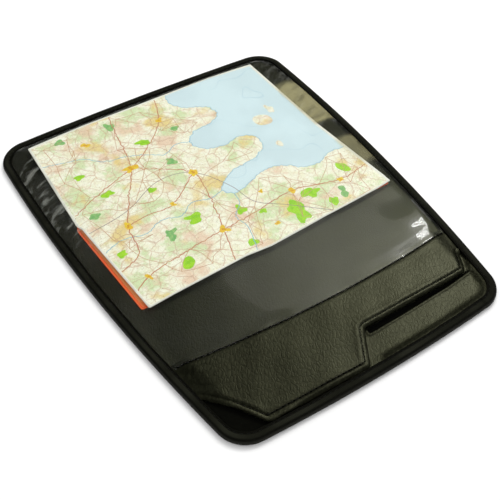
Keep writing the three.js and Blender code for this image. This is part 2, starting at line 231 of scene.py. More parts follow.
def ease(t):
    """From 0 to 1, steep at first and level at the end."""
    return np.sin(np.clip(t, 0, 1) * math.pi / 2)


def hump(value, middle, width):
    """A bell that is 1 in its middle and nearly 0 at twice its width from there."""
    return np.exp(-(((value - middle) / width) ** 2))


def round_edge(gap, radius, least=0.0):
    """A rounded edge: from 0 at the rim to 1 at radius inside it."""
    return np.sqrt(np.clip(1 - (1 - np.clip(gap / radius, 0, 1)) ** 2, least, 1))


def swell(x, y, waves):
    """A sum of long waves: each has a height, a wavelength, a heading in degrees and a phase."""
    total = np.zeros(np.shape(x))
    for height, length, heading, phase in waves:
        a = math.radians(heading)
        total += height * np.sin(2 * math.pi * (x * math.cos(a) + y * math.sin(a)) / length + phase)
    return total


def seam_y(x):
    share = x / SEAM_HALF_WIDTH
    return NEAR_END + FLAP_DEPTH + SEAM_SAG * share**2 + SEAM_SLANT * share


def seam_row(start, end, count, shift=0.0):
    """Points on the seam's line from one x to another, moved up by shift."""
    xs = np.linspace(start, end, count)
    return np.c_[xs, seam_y(xs) + shift]


def half_width(y):
    return SIDES[0][0][0] + np.sqrt(SIDES[0][1] ** 2 - (y - SIDES[0][0][1]) ** 2)


def pieces(line, closed):
    """The two ends of each straight piece of a line."""
    line = np.asarray(line, float)
    return zip(line, np.roll(line, -1, 0) if closed else line[1:])


def line_distance(x, y, line, closed=False):
    """Distance from points to a line of straight pieces."""
    best = np.full(np.shape(x), np.inf)
    for a, b in pieces(line, closed):
        d = b - a
        t = np.clip(((x - a[0]) * d[0] + (y - a[1]) * d[1]) / math.hypot(*d) ** 2, 0, 1)
        best = np.minimum(best, np.hypot(x - a[0] - t * d[0], y - a[1] - t * d[1]))
    return best


def inside_polygon(x, y, polygon):
    inside = np.zeros(np.shape(x), bool)
    for a, b in pieces(polygon, True):
        if a[1] == b[1]:
            continue
        crosses = (a[1] > y) != (b[1] > y)
        inside ^= crosses & (x < (b[0] - a[0]) * (y - a[1]) / (b[1] - a[1]) + a[0])
    return inside


def depth_inside(x, y, polygon):
    """How deep points lie inside a closed line, negative outside it."""
    gap = line_distance(x, y, polygon, closed=True)
    return np.where(inside_polygon(x, y, polygon), gap, -gap)


def walk(line, step, closed=False):
    """The line's points with others between them, at most step apart."""
    out = []
    for a, b in pieces(line, closed):
        n = max(1, math.ceil(length_of(b - a) / step))
        out.extend(a + (b - a) * k / n for k in range(n))
    return np.array(out if closed else [*out, line[-1]])


def rounded(polygon, radius, steps=4):
    """The closed line with each corner replaced by a short curve that starts radius away from it."""
    side_parts = 2.2
    polygon = np.asarray(polygon, float)
    t = np.arange(steps + 1)[:, None] / steps
    out = []
    for before, corner, after in zip(np.roll(polygon, 1, 0), polygon, np.roll(polygon, -1, 0)):
        back, on = before - corner, after - corner
        r = min(radius, length_of(back) / side_parts, length_of(on) / side_parts)
        p = corner + back / length_of(back) * r
        q = corner + on / length_of(on) * r
        out.append((1 - t) ** 2 * p + 2 * t * (1 - t) * corner + t**2 * q)
    return np.concatenate(out)


def curve_through(points, step):
    """A smooth curve through given points."""
    p = np.asarray(points, float)
    p = np.r_[2 * p[:1] - p[1:2], p, 2 * p[-1:] - p[-2:-1]]
    out = []
    for a, b, c, d in zip(p, p[1:], p[2:], p[3:]):
        n = max(2, round(length_of(c - b) / step))
        t = np.arange(n)[:, None] / n
        curve = 2 * b + (c - a) * t
        curve += (2 * a - 5 * b + 4 * c - d) * t**2
        curve += (3 * b - a - 3 * c + d) * t**3
        out.append(0.5 * curve)
    out.append(p[-2:-1])
    return np.concatenate(out)


# Mesh helpers
def compact(plan, tris):
    """The same triangles without the points that none of them uses."""
    used, tris = np.unique(tris, return_inverse=True)
    return plan[used], tris.reshape(-1, 3)


def triangulated(points, faces, output, merge, owners):
    """Plan points, triangles and the numbers of the faces that each triangle lies in."""
    found = delaunay_2d_cdt([Vector(p) for p in points], [], faces, output, merge, owners)
    return np.array([tuple(v) for v in found[0]]), np.array(found[2]), found[5]


def plan_mesh(boundary, step, rows=(), patch=None):
    """Triangles over a plan outline: close rows along its edge, an even grid, and a finer patch."""
    row_height = 0.866
    row_room = 0.9
    grid_room = 0.6
    edge = walk(boundary, step, closed=True)
    low, high = edge.min(0), edge.max(0)
    xs = np.arange(low[0], high[0], step)
    gx, gy = np.meshgrid(xs, np.arange(low[1], high[1], step * row_height))
    gx[1::2] += step / 2
    inward = unit_left(np.roll(edge, -1, 0) - np.roll(edge, 1, 0)) * np.sign(signed_area(edge))

    def off_edge(points, room):
        return points[line_distance(*points.T, boundary, closed=True) >= room]

    parts = [off_edge(np.c_[gx.ravel(), gy.ravel()], max(rows, default=0) + step * grid_room)]
    parts += [off_edge(edge + inward * d, d * row_room) for d in rows]
    if patch:
        left, right, near, far, fine = patch
        px, py = np.meshgrid(np.arange(left, right, fine), np.arange(near, far, fine))
        parts.append(off_edge(np.c_[px.ravel(), py.ravel()], fine))
    inner = np.concatenate(parts)
    points = np.concatenate([edge, inner[inside_polygon(*inner.T, edge)]])
    plan, tris, _ = triangulated(points, [list(range(len(edge)))], 0, 1e-4, False)
    return compact(plan, tris[inside_polygon(*plan[tris].mean(1).T, edge)])


def rim_edges(tris):
    """Edges that only one triangle has, in that triangle's direction."""
    pairs = np.concatenate([tris[:, [0, 1]], tris[:, [1, 2]], tris[:, [2, 0]]])
    key = np.sort(pairs, 1)
    _, first, count = np.unique(key, axis=0, return_index=True, return_counts=True)
    return pairs[first[count == 1]]


def new_object(name, data):
    made = bpy.data.objects.new(name, data)
    bpy.context.scene.collection.objects.link(made)
    return made


def mesh_object(name, verts, faces, flat_last=0):
    """A mesh object from millimetre vertices and faces, the last flat_last of them shaded flat."""
    mesh = bpy.data.meshes.new(name)
    mesh.from_pydata((np.asarray(verts) * MM).tolist(), [], [list(map(int, f)) for f in faces])
    shade = np.ones(len(faces), bool)
    shade[len(faces) - flat_last :] = False
    mesh.polygons.foreach_set("use_smooth", shade)
    mesh.update()
    return new_object(name, mesh)


def sheet_parts(plan, tris, top, bottom, base=0):
    """Vertices, faces and rim walls of a closed sheet over a plan mesh, numbered from base on."""
    n = len(plan)
    verts = np.r_[np.c_[plan, top], np.c_[plan, bottom]].tolist()
    faces = (tris + base).tolist() + (tris[:, ::-1] + n + base).tolist()
    walls = [(a + base, a + n + base, b + n + base, b + base) for a, b in rim_edges(tris)]
    return verts, faces, walls


def slab(name, plan, tris, top, bottom):
    """A closed sheet over a plan mesh, from its top and bottom heights."""
    verts, faces, walls = sheet_parts(plan, tris, top, bottom)
    return mesh_object(name, verts, faces + walls, flat_last=len(walls))


def ring_faces(rings, points, closed=True):
    """Faces from each ring of points to the next one, and from the last to the first if closed."""
    i, k = np.mgrid[: rings if closed else rings - 1, :points].reshape(2, -1)
    j, after = (i + 1) % rings, (k + 1) % points
    return np.c_[i * points + k, i * points + after, j * points + after, j * points + k].tolist()


def number_layer(made, name, values):
    """A named number at each vertex, for the materials. Values for a top serve its bottom too."""
    layer = made.data.attributes.new(name, "FLOAT", "POINT")
    layer.data.foreach_set("value", np.resize(values, len(layer.data)).astype(np.float32))


def paint_top(made, slots):
    """Sets the material of the first faces, which are the top of a slab."""
    index = np.zeros(len(made.data.polygons), int)
    index[: len(slots)] = slots
    made.data.polygons.foreach_set("material_index", index)


# Heights of the front
flap_edge = np.array([(a * NEAR_WIDTH / 2, NEAR_END + u * FLAP_DEPTH) for a, u in FLAP_EDGE])
LEFT_EDGE_Y = flap_edge[0][1]
RIGHT_EDGE_Y = flap_edge[-1][1]
STEP_Y = NEAR_END + STEP_HEM_UP * FLAP_DEPTH
NEAR_Y = NEAR_END + NEAR_HEM_UP * FLAP_DEPTH

# Further out than any point of the case
BEYOND = 200


def flap_face(x, y):
    """The flap's outer face before its hem is shaped."""
    upper = STEP_HEM_TOP + (SEAM_TOP - STEP_HEM_TOP) * (y - STEP_Y) / (seam_y(x) - STEP_Y)
    lower = NEAR_HEM_TOP + (STEP_HEM_TOP - NEAR_HEM_TOP) * (y - NEAR_Y) / (STEP_Y - NEAR_Y)
    crown = np.where(y > STEP_Y, upper, lower)
    rise = smooth((inset_of(x, y, LEFT_AND_RIGHT) - RISE_FROM + 2) / (RISE_WIDTH + 4))
    waves = [(0.10, 46, 20, 0.3), (0.08, 31, 78, 1.9), (0.06, 23, -35, 4.0)]
    return FLAP_HELD + (crown - FLAP_HELD) * rise + swell(x, y, waves) * rise


def film_face(x, y):
    """The film's underside: bulged over the map, and resting on the flap at the seam."""
    rise = ease((inset_of(x, y, ALL_BUT_NEAR) - RISE_FROM + 1) / RISE_WIDTH)
    open_face = FILM_HELD + (FILM_CROWN - FILM_HELD) * rise
    on_flap = flap_face(x, y) + 0.05
    free = smooth((y - seam_y(x) - 2.5) / 9)
    face = on_flap * (1 - free) + open_face * free
    return np.maximum(face, np.where(y < seam_y(x) + FLAP_TUCK, on_flap, 0))


def film_ripples(x, y):
    """Low swells of the film, with a bulge and a pucker just above the seam's right end."""
    held_off = smooth((inset_of(x, y, ALL_BUT_NEAR) - RISE_FROM) / 5)
    free = smooth((y - seam_y(x)) / 6)
    waves = [(0.10, 92, 28, 0.4), (0.06, 61, -52, 2.2), (0.015, 34, 64, 5.1)]
    bulge = 1.35 * hump(y, -74, 10.5) * smooth((x - 74) / 18)
    pucker = 0.55 * hump(x, 109, 5.5) * hump(y, -65.5, 5.0)
    return (swell(x, y, waves) + bulge + pucker) * held_off * free


# Materials
def linear(c):
    """A display value from 0 to 255 as a linear one."""
    return ((c / 255 + 0.055) / 1.055) ** 2.4 if c > 10 else c / 255 / 12.92


class Look:
    """A material and short ways to add nodes to it."""

    def __init__(self, name):
        self.material = bpy.data.materials.new(name)
        self.material.use_nodes = True
        self.tree = self.material.node_tree
        self.tree.nodes.clear()
        self.out = self.tree.nodes.new("ShaderNodeOutputMaterial")
        self.place = self.tree.nodes.new("ShaderNodeTexCoord").outputs["Object"]

    def put(self, socket, value):
        """Links or sets an input. A colour of three numbers is a display colour from 0 to 255."""
        if isinstance(value, bpy.types.NodeSocket):
            self.tree.links.new(value, socket)
        elif socket.type == "RGBA" and len(value) == 3:
            socket.default_value = [*map(linear, value), 1.0]
        else:
            socket.default_value = value

    def node(self, kind, inputs, **settings):
        made = self.tree.nodes.new(kind)
        for key, value in settings.items():
            setattr(made, key, value)
        for key, value in inputs.items():
            self.put(made.inputs[key], value)
        return made

    def noise(self, size, detail=3.0, rough=0.5, place=None, output="Fac"):
        """Noise whose cells are about size millimetres wide."""
        inputs = {"Vector": place or self.place, "Scale": 1 / (size * MM)}
        inputs |= {"Detail": detail, "Roughness": rough}
        return self.node("ShaderNodeTexNoise", inputs).outputs[output]

    def cells(self, size, feature="F1", place=None):
        """Distance in a pattern of cells about size millimetres wide."""
        inputs = {"Vector": place or self.place, "Scale": 1 / (size * MM)}
        return self.node("ShaderNodeTexVoronoi", inputs, feature=feature).outputs["Distance"]

    def math(self, operation, a, b=0.5):
        return self.node("ShaderNodeMath", {0: a, 1: b}, operation=operation).outputs[0]

    def times(self, a, b):
        return self.math("MULTIPLY", a, b)

    def weighted(self, *parts):
        """The sum of values times their weights."""
        total = self.times(*parts[0])
        for part in parts[1:]:
            total = self.math("ADD", total, self.times(*part))
        return total

    def wave(self, value, pitch):
        """A sine along a layer in millimetres, with that pitch."""
        return self.math("SINE", self.times(value, 2 * math.pi / pitch))

    def spread(self, value, low, high, to_low=0.0, to_high=1.0, kind="SMOOTHSTEP"):
        inputs = {"Value": value, "From Min": low, "From Max": high, "To Min": to_low, "To Max": to_high}
        return self.node("ShaderNodeMapRange", inputs, interpolation_type=kind).outputs["Result"]

    def contours(self, value, count, thick, strength):
        """Thin lines where a value crosses one of count evenly spaced levels."""
        level = self.math("FRACT", self.times(value, count))
        off = self.math("ABSOLUTE", self.math("SUBTRACT", level, 0.5))
        return self.spread(off, 0.0, thick, strength, 0.0)

    def mix(self, share, a, b):
        return self.node("ShaderNodeMix", {0: share, 6: a, 7: b}, data_type="RGBA").outputs[2]

    def tones(self, size, a, b):
        """Two tones in patches about size millimetres wide."""
        return self.mix(self.noise(size), a, b)

    def tint(self, color, ink, value, low, high, to_low=0.0, to_high=1.0):
        """A colour with ink over it, as strong as the value says between low and high."""
        return self.mix(self.spread(value, low, high, to_low, to_high), color, ink)

    def layer(self, name):
        return self.node("ShaderNodeAttribute", {}, attribute_name=name).outputs["Fac"]

    def vector(self, operation, a, b):
        return self.node("ShaderNodeVectorMath", {0: a, 1: b}, operation=operation).outputs[0]

    def wobble(self, size, detail, reach, middle):
        """A shift that wanders over about size millimetres: reach times a noise colour less middle."""
        color = self.noise(size, detail, output="Color")
        off_middle = self.vector("SUBTRACT", color, (middle,) * 3)
        return self.vector("MULTIPLY", off_middle, (reach * MM,) * 3)

    def drawn_out(self, length, turn):
        """The place with marks drawn out by length along the Y axis turned about Z."""
        inputs = {"Vector": self.place, "Rotation": (0, 0, math.radians(turn)), "Scale": (1, length, 1)}
        return self.node("ShaderNodeMapping", inputs, vector_type="TEXTURE").outputs["Vector"]

    def bump(self, height, depth):
        """Relief of that depth in millimetres for a height from 0 to 1."""
        inputs = {"Height": height, "Distance": depth * MM, "Strength": 1.0}
        return self.node("ShaderNodeBump", inputs).outputs["Normal"]

    def shader(self, kind, **inputs):
        named = {key.replace("_", " "): value for key, value in inputs.items()}
        return self.node("ShaderNodeBsdf" + kind, named).outputs[0]

    def blend(self, share, a, b):
        return self.node("ShaderNodeMixShader", {0: share, 1: a, 2: b}).outputs[0]

    def finish(self, surface):
        self.put(self.out.inputs["Surface"], surface)
        return self.material

    def principled(self, **inputs):
        return self.finish(self.shader("Principled", **inputs))

    def paper(self, color, rough=0.42, tooth=0.35, depth=0.012):
        """Paper or card, with a fine relief."""
        relief = self.bump(self.noise(tooth, 2.0), depth)
        return self.principled(Base_Color=color, Roughness=rough, Normal=relief)


def leather_look(name, grain=1.0, rough=0.36):
    """Pebbled leatherette: drawn-out uneven cells with fine creases between them, with painted shade
    darkening the creases and paler cell tops.
    """
    look = Look(name)
    turn = -33
    pale = (26, 28, 18)
    drawn = look.drawn_out(1.9, turn)
    bent = look.vector("ADD", drawn, look.wobble(4, 3.0, 2.8, 0.5))
    pebble = look.spread(look.cells(2.3 * grain, "DISTANCE_TO_EDGE", bent), 0.0, 0.22)
    small = look.cells(0.9 * grain, "F1", bent)
    fine = look.noise(0.35, 2.0)
    patch = look.noise(2.4, 3.0, 0.6, drawn)
    streak = look.noise(1.5, 2.0, 0.5, look.drawn_out(3.0, turn))
    slow = look.noise(14, 4.0)
    height = look.weighted((pebble, 0.38), (small, -0.2), (patch, 0.9), (fine, 0.10))
    # Painted shade: dark in the creases between the cells and paler on the cell tops
    color = look.mix(look.times(pebble, look.spread(patch, 0.35, 0.62)), (10, 11, 5), pale)
    color = look.tint(color, pale, streak, 0.42, 0.62, 0, 0.4)
    color = look.tint(color, pale, slow, 0.40, 0.70, 0, 0.35)
    return look.principled(
        Base_Color=color,
        Roughness=look.spread(fine, 0.2, 0.8, rough - 0.05, rough + 0.07, "LINEAR"),
        Normal=look.bump(height, 0.115 * grain),
        IOR=1.6,
        Specular_IOR_Level=0.74,
        Specular_Tint=(238, 240, 196),
    )


def painted_shade_look():
    """Black cloth-like colour, painted shade in the slot and at the cut left corner."""
    look = Look("black_painted_shade")
    return look.principled(
        Base_Color=look.tones(3, (4, 4, 2), (11, 12, 6)),
        Roughness=0.9,
        Normal=look.bump(look.noise(0.5), 0.08),
        Specular_IOR_Level=0.1,
    )


def tape_look():
    """Woven tape: fine ribs across it and a little lint, with painted light: a lit colour on the top of
    the upper leg and painted shade on the rest.
    """
    look = Look("woven_tape")
    across = look.layer("across_mm")
    ribs = look.wave(look.layer("along_mm"), 0.9)
    threads = look.wave(across, 0.5)
    lint = look.noise(0.5, 3.0, 0.7)
    slow = look.noise(22)
    # Painted light: a lit colour on the top of the upper leg, between these insets, and painted shade on
    # the outer side, the inner edge and the lower leg
    top = look.times(look.spread(across, 1.3, 2.6), look.spread(across, 5.2, 4.6))
    painted_lit = look.tint((19, 20, 13), (30, 31, 23), slow, 0.3, 0.7)
    color = look.mix(top, (9, 9, 6), painted_lit)
    color = look.tint(color, (42, 43, 34), lint, 0.62, 0.8, 0, 0.3)
    return look.principled(
        Base_Color=color,
        Roughness=look.spread(lint, 0.3, 0.7, 0.62, 0.78, "LINEAR"),
        Normal=look.bump(look.weighted((ribs, 0.35), (threads, 0.15), (lint, 0.5)), 0.10),
        Specular_IOR_Level=0.3,
        Specular_Tint=(238, 240, 214),
    )


def film_look():
    """Clear soft film: sees through, mirrors lamps at its skin, is slightly milky, and carries painted
    reflections as pale streaks and a straw-coloured patch.
    """
    look = Look("clear_film")
    turn = -62
    white = (1, 1, 1, 1)
    normal = look.bump(look.noise(11, 2.0, 0.45), 0.012)
    # Painted reflection: pale milky streaks drawn out along the film's side strips
    painted_reflection_streaks = look.spread(look.noise(6, 3.0, 0.6, look.drawn_out(4.5, turn)), 0.50, 0.68, 0, 0.10)
    haze = look.spread(look.noise(60, 2.0), 0.3, 0.75, 0.004, 0.014)
    haze = look.math("ADD", haze, look.times(painted_reflection_streaks, look.layer("scuffed")))
    clear = look.shader("Transparent", Color=(0.965, 0.97, 0.955, 1))
    hazy = look.blend(haze, clear, look.shader("Diffuse", Color=(0.75, 0.77, 0.70, 1)))
    # Painted reflection: a straw-coloured patch where its layer says, broken up by a cloud
    cloud = look.spread(look.noise(9, 3.0, 0.6, look.drawn_out(2.5, turn)), 0.34, 0.56, 0.55, 1.0)
    sheen = look.times(look.times(look.layer("sheen"), cloud), 0.27)
    base = look.blend(sheen, hazy, look.shader("Diffuse", Color=(0.62, 0.57, 0.30, 1)))
    sharp = look.shader("Glossy", Color=white, Roughness=0.05, Normal=normal)
    broad = look.shader("Glossy", Color=white, Roughness=0.26, Normal=normal)
    facing = look.node("ShaderNodeLayerWeight", {"Blend": 0.5, "Normal": normal}).outputs["Facing"]
    mirror = look.math("ADD", look.times(look.math("POWER", facing, 5.0), 0.6), 0.027)
    return look.finish(look.blend(mirror, base, look.blend(0.68, sharp, broad)))


def thread_look():
    look = Look("sewing_thread")
    color = look.tones(1.2, (10, 10, 8), (26, 26, 22))
    twist = look.bump(look.wave(look.layer("along_mm"), 0.45), 0.05)
    return look.principled(Base_Color=color, Roughness=0.55, Normal=twist)


def painted_hole_shade_look():
    # Painted shade: the needle holes are near black
    look = Look("needle_hole_painted_shade")
    color = look.tones(1.0, (3, 3, 2), (8, 8, 6))
    return look.principled(Base_Color=color, Roughness=0.95, Specular_IOR_Level=0.05)


def paper_look():
    look = Look("plain_paper")
    color = look.tones(6, (250, 250, 244), (236, 234, 222))
    return look.paper(color, 0.6, 0.4, 0.02)


def cover_look():
    """Orange card with a paler print inside its edge."""
    look = Look("orange_card")
    ink = look.tones(8, (250, 92, 34), (255, 112, 50))
    color = look.tint(ink, (255, 176, 104), look.layer("edge_mm"), 1.6, 2.4, 0, 0.8)
    return look.paper(color, 0.4, 0.4, 0.015)


def ink_look(name, a, b, size):
    """Printed paper in one ink: two near tones in soft patches, and the paper's tooth."""
    look = Look(name)
    color = look.tint(a, b, look.noise(size, 3.0, 0.55), 0.35, 0.65)
    return look.paper(color)


def land_look():
    """Land on the map: cream with soft tints, a web of lanes, faint hill lines and specks."""
    look = Look("print_land")
    spots = [look.vector("ADD", look.place, shift) for shift in [(0.31, 0.17, 0), (-0.2, 0.4, 0)]]
    green = look.noise(22, 5.0, 0.62)
    pink = look.noise(26, 5.0, 0.62, spots[0])
    yellow = look.noise(30, 4.0, 0.55, spots[1])
    color = look.tint((255, 254, 240), (248, 245, 222), look.noise(5, 4.0, 0.65), 0.38, 0.66)
    color = look.tint(color, (206, 228, 170), green, 0.50, 0.62, 0, 0.7)
    color = look.tint(color, (240, 208, 184), pink, 0.52, 0.66, 0, 0.8)
    color = look.tint(color, (238, 214, 140), yellow, 0.57, 0.68, 0, 0.85)
    hills = look.contours(look.noise(34, 3.0, 0.5, spots[0]), 13.0, 0.10, 0.30)
    color = look.mix(hills, color, (206, 176, 140))
    shift = look.wobble(7, 2.0, 4.5, 0.0)
    webs = [(15.0, 0.024, (206, 160, 132), 0.5), (9.0, 0.03, (222, 198, 168), 0.35)]
    for (size, thick, ink, strength), spot in zip(webs, spots):
        web = look.cells(size, "DISTANCE_TO_EDGE", look.vector("ADD", spot, shift))
        color = look.tint(color, ink, web, thick * 0.5, thick * 1.2, strength, 0)
    specks = look.cells(2.6, "F1", spots[1])
    color = look.tint(color, (150, 120, 104), specks, 0.10, 0.17, 0.55, 0)
    color = look.tint(color, (186, 176, 146), look.noise(1.1, 2.0), 0.60, 0.72, 0, 0.45)
    return look.paper(color)


def sea_look():
    """Sea on the map: pale blue with faint depth lines and sparse specks."""
    look = Look("print_sea")
    color = look.tint((213, 233, 243), (219, 239, 249), look.noise(38), 0.4, 0.6)
    color = look.mix(look.contours(look.noise(70, 2.0), 7.0, 0.025, 0.35), color, (160, 200, 222))
    color = look.tint(color, (120, 160, 190), look.cells(6.5), 0.03, 0.06, 0.4, 0)
    return look.paper(color, 0.40)


leather_face = leather_look("pebbled_leatherette")
back_face = leather_look("panel_leatherette", 1.05, 0.38)
woven = tape_look()
clear = film_look()
thread = thread_look()
hole_painted_shade = painted_hole_shade_look()


def dress(made, slot, *materials, replaces=()):
    """Gives a piece its materials, its body and the nodes that it stands for. The slot is not used."""
    for m in materials:
        made.data.materials.append(m)
    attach(made, "root")
    if replaces:
        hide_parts(*replaces)


# Padded back
def flap_outside(x, y):
    """How far points lie outside the flap's free edge, towards the near end."""
    left = [(-BEYOND, 0), (-BEYOND, LEFT_EDGE_Y)]
    return -depth_inside(x, y, np.array([*left, *flap_edge, (BEYOND, RIGHT_EDGE_Y), (BEYOND, 0)]))


def back_panel():
    """The back, with a lip beside the flap's step, shallow dents and the slot pressed into it."""
    rows = (1.2, 2.6, 4.2, 5.6, 7.0, 8.6, 10.4, 12.4)
    plan, tris = plan_mesh(outline(TAPE + 0.5), 3.0, rows, SLOT_PATCH)
    x, y = plan.T
    inset = inset_of(x, y)
    bare = smooth(flap_outside(x, y) / 5) * smooth((LEFT_EDGE_Y - y) / 8) * smooth((x - 2) / 8)
    lip = smooth((12.5 - inset) / 6.0) * bare * (LEG_UNDER - 0.25 - PANEL_TOP)
    waves = [(0.12, 58, 35, 0.2), (0.09, 33, -20, 1.0), (0.06, 19, 80, 2.0)]
    crest = sum(wave[0] for wave in waves)
    dents = (swell(x, y, waves) - crest) * smooth((inset - 6) / 8)
    depth = depth_inside(x, y, SLOT)
    sunk = SLOT_DEPTH * smooth((depth + 0.15) / 0.9)
    # The rim round the slot is raised, but not on its far side
    roll = 0.35 * hump(depth, -1.0, 0.9) * (y < SLOT_FAR_Y)
    bottom = (TAPE + 0.15) * (1 - smooth((inset - TAPE_WIDTH - 0.4) / 1.6))
    made = slab("padded_back", plan, tris, PANEL_TOP + lip + dents + roll - sunk, bottom)
    dress(made, "leather", back_face, painted_shade_look(), replaces=["back_panel"])
    # Painted shade: the slot and the cut left corner take the black material
    middle = plan[tris].mean(1).T
    paint_top(made, inside_polygon(*middle, SLOT) | inside_polygon(*middle, CORNER_PAINTED_SHADE))


# Binding
def edge_binding():
    """The tape folded over the edge. Its upper leg rises and sways a little on its way round."""
    ring = outline()
    pace = length_of(np.roll(ring, -1, 0) - ring)
    lift = swell(*ring.T, [(0.07, 41, 15, 0.4), (0.06, 27, 70, 2.0), (0.05, 17, -30, 4.4)])
    sway = swell(*ring.T, [(0.16, 52, 60, 0.1), (0.10, 29, 10, 3.0)])
    high, t = TAPE_TOP, TAPE
    # Section of the tape as inset and height, first up the outside in shares of the height
    outside = [(0.02, 0.42), (0.10, 0.60), (0.42, 0.78), (0.95, 0.90), (1.7, 0.965)]
    # Over the upper leg and back below it, as depths under the top
    below_top = [
        (2.7, 0.03), (3.6, 0), (4.4, 0.06), (5.0, 0.26), (5.35, 0.40), (5.7, 0.34), (6.2, 0.16),
        (6.6, 0.20), (6.9, 0.42), (7.0, 0.80), (6.85, t + 0.05), (5.4, t + 0.1), (3.0, t),
        (1.5, t + 0.3), (t, t + 1.0),
    ]
    upper = [(inset, high * share) for inset, share in outside]
    upper += [(inset, high - drop) for inset, drop in below_top]
    # Inwards on the lower leg and outwards again at the bottom
    lower = [
        (t, t + 0.9), (1.5, t + 0.25), (3.0, t), (6.8, t), (7.0, t * 0.7), (6.9, 0.06), (6.4, 0.0),
        (3.0, 0.0), (1.4, 0.14), (0.7, 0.42), (0.25, 0.95), (0.04, 1.6),
    ]
    # Added to the lower leg's insets, so that the material's painted light falls on the upper leg only
    # and the lower leg gets painted shade
    lower_leg = 20
    rows = []
    across = []
    for k, (inset, z) in enumerate([*upper, *lower]):
        top_leg = k < len(upper) - 1
        row = outline(inset)
        inward = (outline(inset + 0.01) - row) * 100
        row = row + inward * sway[:, None] * np.clip((inset - 2.5) / 4.5, 0, 1) * top_leg
        heights = z + lift * (z / high) * top_leg * np.clip(inset / 2, 0, 1)
        rows.append(np.c_[row, np.minimum(heights, TAPE_TOP + 0.15)])
        across.append(np.full(len(row), inset + (0 if top_leg else lower_leg)))
    made = mesh_object("bound_edge", np.concatenate(rows), ring_faces(len(rows), len(ring)))
    number_layer(made, "along_mm", np.r_[0, np.cumsum(pace)[:-1]])
    number_layer(made, "across_mm", np.concatenate(across))
    dress(made, "tape", woven, replaces=["edge_binding"])


# Flap
def shaped_flap_edge():
    """The free edge with its corners softened, and without the three points that close it."""
    steps = 4
    corner = steps + 1
    beside = 140
    closing = [(beside, RIGHT_EDGE_Y), (0, BEYOND)]
    soft = rounded([(-beside, LEFT_EDGE_Y), *flap_edge, *closing], EDGE_CORNER, steps)
    return soft[corner : -2 * corner]


free_edge = shaped_flap_edge()


def clear_of_tape(x, y):
    return smooth((inset_of(x, y, LEFT_AND_RIGHT) - TAPE_WIDTH + 1) / 3)


def flap_top(x, y):
    """The flap's face with its rounded edge, the puffed hem and the groove of its stitches."""
    gap = line_distance(x, y, free_edge)
    puff = 0.16 * hump(gap, 6.0, 1.5)
    # Right of the cut corner the hem slopes down to its edge
    slope = -0.85 * smooth((x + 68) / 14) * smooth((HEM_STITCH + 0.2 - gap) / 3.6)
    groove = -0.34 * hump(gap, HEM_STITCH, 0.75)
    edge_drop = -0.50 * (1 - round_edge(gap, EDGE_ROUND))
    from_seam = seam_y(x) - y
    tuck = -0.22 * hump(from_seam, 0, 0.9)
    ridge = 0.12 * hump(from_seam, 3.0, 1.6)
    return flap_face(x, y) + (puff + slope + groove + edge_drop) * clear_of_tape(x, y) + tuck + ridge


def flap_bottom(x, y):
    """The flap's underside, lower where the hem is turned under."""
    gap = line_distance(x, y, free_edge)
    turn = 0.75 * (1 - smooth((gap - HEM_WIDTH) / 0.8))
    edge_rise = 0.70 * (1 - round_edge(gap, EDGE_ROUND))
    under = flap_face(x, y) - LEATHER - (turn - edge_rise) * clear_of_tape(x, y)
    return np.minimum(np.maximum(under, PANEL_TOP + 0.15), flap_top(x, y) - 0.25)


def closing_flap():
    side_inset = TAPE + 0.7
    ring = outline(side_inset, 1.5)
    x, y = ring.T
    under_film = y < seam_y(x) + FLAP_TUCK
    right = ring[under_film & (x > 0) & (y > RIGHT_EDGE_Y)]
    left = ring[under_film & (x < 0) & (y > LEFT_EDGE_Y)]
    top_row = seam_row(right[-1][0], left[0][0], 60, FLAP_TUCK)
    inside = free_edge[inset_of(*free_edge.T) > side_inset + 0.3]
    boundary = np.concatenate([inside, right, top_row[1:-1], left])
    rows = (0.12, 0.35, 0.7, 1.15, 1.8, 2.6, 3.3, 3.8, 4.2, 4.6, 5.1, 5.7, 6.6)
    plan, tris = plan_mesh(boundary, 1.6, rows)
    made = slab("stepped_flap", plan, tris, flap_top(*plan.T), flap_bottom(*plan.T))
    dress(made, "leather", leather_face, replaces=["closing_flap"])


# Window
def clear_window():
    ring = outline(TAPE + 0.8, 1.5)
    above = ring[:, 1] > seam_y(ring[:, 0]) - FILM_LAP
    first = int(np.argmax(above & ~np.roll(above, 1)))
    ring = np.roll(ring, -first, 0)[: above.sum()]
    low_row = seam_row(ring[-1][0], ring[0][0], 90, -FILM_LAP)
    boundary = np.concatenate([ring, low_row[1:-1]])
    rows = (0.5, 1.3, 2.4, 3.8, 5.4, 6.6, 7.8, 9.2, 10.8, 12.6)
    pucker_patch = (70, 116, -100, -45, 0.8)
    plan, tris = plan_mesh(boundary, 2.0, rows, pucker_patch)
    x, y = plan.T
    pinch = -0.12 * hump(y, seam_y(x), 0.8)
    under = np.maximum(film_face(x, y) + film_ripples(x, y) + pinch, PANEL_TOP + 0.5)
    over_flap = np.maximum(under, flap_top(x, y) + 0.02)
    under = np.where(y < seam_y(x) + FLAP_TUCK, over_flap, under)
    made = slab("window_film", plan, tris, under + FILM, under)
    # Pale streaks of painted reflection along both sides, and a straw-coloured painted reflection in two
    # patches at the right edge
    left = smooth((-x - 96) / 6) * smooth((y - 10) / 50)
    right = smooth((x - 98) / 8) * smooth((y - 25) / 30) * 0.5
    # Painted reflection: these two patches at the right edge take the straw colour
    far_patch = smooth((y - 48) / 5) * (1 - smooth((y - 104) / 10))
    near_patch = smooth((y + 12) / 8) * (1 - smooth((y - 22) / 6)) * 0.5
    sheen = smooth((x - 102) / 2.5) * (far_patch + near_patch)
    number_layer(made, "scuffed", left + right)
    number_layer(made, "sheen", sheen)
    dress(made, "film", clear, replaces=["clear_window"])


